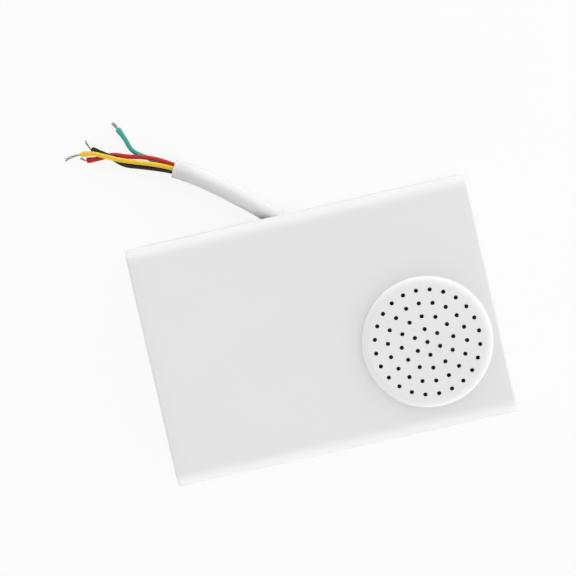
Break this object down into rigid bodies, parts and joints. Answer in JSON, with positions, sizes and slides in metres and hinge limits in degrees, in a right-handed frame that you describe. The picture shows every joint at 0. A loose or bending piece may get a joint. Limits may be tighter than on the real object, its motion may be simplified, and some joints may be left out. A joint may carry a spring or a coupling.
{
  "type": "door chime",
  "caption": "Wired electronic door chime: a flat box with a lift-off cover, a round perforated grille, a loudspeaker and a circuit board, and a cable with stripped cores.",
  "frame": {"origin": "on the wall plane behind the middle of the box, under the centre of its outline", "axes": "+Z out of the wall towards the grille, +X along the box's long side, +Y towards the edge that the cable leaves"},
  "size_m": [0.1361, 0.1293, 0.03],
  "materials": {
    "shell_white": "moulded, fine satin",
    "grille_white": "moulded, fine satin",
    "plate_white": "moulded, matt",
    "screw_steel": "zinc plated",
    "board_green": "solder mask",
    "chip_black": "moulded epoxy",
    "can_sleeve": "shrink sleeve",
    "disc_ceramic": "dipped",
    "resistor_tan": "lacquered",
    "header_nylon": "nylon",
    "basket_steel": "thin grey paint",
    "motor_steel": "zinc plated",
    "ferrite": "matt ferrite",
    "coil_copper": "enamelled copper",
    "cone_paper": "pressed paper",
    "surround_rubber": "soft, matt",
    "spider_cloth": "resin-dipped cloth",
    "gasket_board": "die-cut",
    "terminal_brown": "phenolic strip",
    "grommet_rubber": "matt",
    "jacket_grey": "soft sheath, satin",
    "insulation_yellow": "satin",
    "insulation_red": "satin",
    "insulation_black": "satin",
    "insulation_green": "satin",
    "conductor_tinned": "tinned strands"
  },
  "bodies": {
    "base": {"back_plate": "plate_white", "cover_screws": "screw_steel", "circuit_board": "board_green", "board_screws": "screw_steel", "melody_chip": "chip_black", "amplifier_chip": "chip_black", "power_capacitor": "can_sleeve", "signal_capacitors": "can_sleeve", "ceramic_capacitors": "disc_ceramic", "resistors": "resistor_tan", "diodes": "chip_black", "transistor": "chip_black", "cable_header": "header_nylon", "speaker_header": "header_nylon", "speaker_basket": "basket_steel", "speaker_top_plate": "motor_steel", "speaker_magnet": "ferrite", "speaker_yoke": "motor_steel", "speaker_surround": "surround_rubber", "speaker_spider": "spider_cloth", "speaker_gasket": "gasket_board", "speaker_washers": "screw_steel", "speaker_screws": "screw_steel", "speaker_terminals": "terminal_brown", "cable_grommet": "grommet_rubber", "cable_clamp": "plate_white", "clamp_screws": "screw_steel", "cable_jacket": "jacket_grey", "core_yellow": "insulation_yellow", "core_red": "insulation_red", "core_black": "insulation_black", "core_green": "insulation_green", "conductor_yellow": "conductor_tinned", "conductor_red": "conductor_tinned", "conductor_black": "conductor_tinned", "conductor_green": "conductor_tinned", "inner_core_yellow": "insulation_yellow", "inner_core_red": "insulation_red", "inner_core_black": "insulation_black", "inner_core_green": "insulation_green", "speaker_lead_black": "insulation_black", "speaker_lead_red": "insulation_red"},
    "cover": {"front_cover": "shell_white", "speaker_grille": "grille_white"},
    "cone": {"speaker_cone": "cone_paper", "voice_coil": "coil_copper", "dust_cap": "cone_paper"}
  },
  "joints": [
    {"name": "cover_lift", "type": "slide", "parent": "base", "child": "cover", "axis": [0, 0, 1], "range_m": [0, 0.04]},
    {"name": "cone_travel", "type": "slide", "parent": "base", "child": "cone", "axis": [0, 0, 1], "range_m": [-0.0008, 0.0008], "stiffness_N_per_m": 1500, "deforming": ["speaker_surround", "speaker_spider"]}
  ]
}
